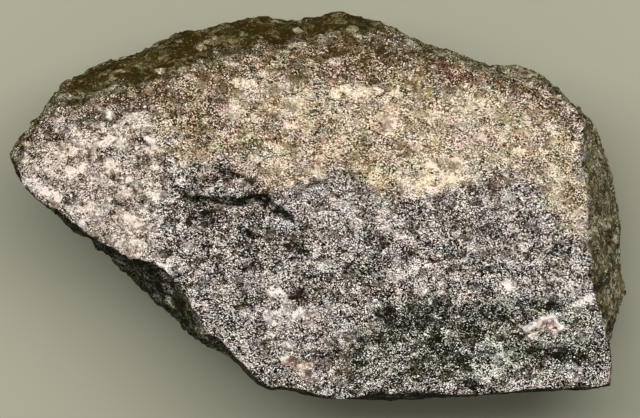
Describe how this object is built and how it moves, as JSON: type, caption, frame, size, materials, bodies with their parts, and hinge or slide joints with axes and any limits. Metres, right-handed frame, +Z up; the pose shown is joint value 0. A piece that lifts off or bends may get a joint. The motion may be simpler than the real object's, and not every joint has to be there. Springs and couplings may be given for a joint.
{
  "type": "quartzite",
  "caption": "Broken lump of quartzite lying on its back: a broad rough fracture face above, a weathered rim and blunt nose, and a small flat spot to rest on.",
  "frame": {"origin": "on the surface the stone rests on, under the middle of its outline seen from above", "axes": "+X along the stone from the nose to the square end, +Y toward the weathered rim, +Z up out of the broken face"},
  "size_m": [0.0984, 0.0628, 0.0385],
  "materials": {
    "stone": "rough, grainy fracture with a dull weathered rim"
  },
  "bodies": {
    "root": {"stone": "stone"}
  },
  "joints": []
}
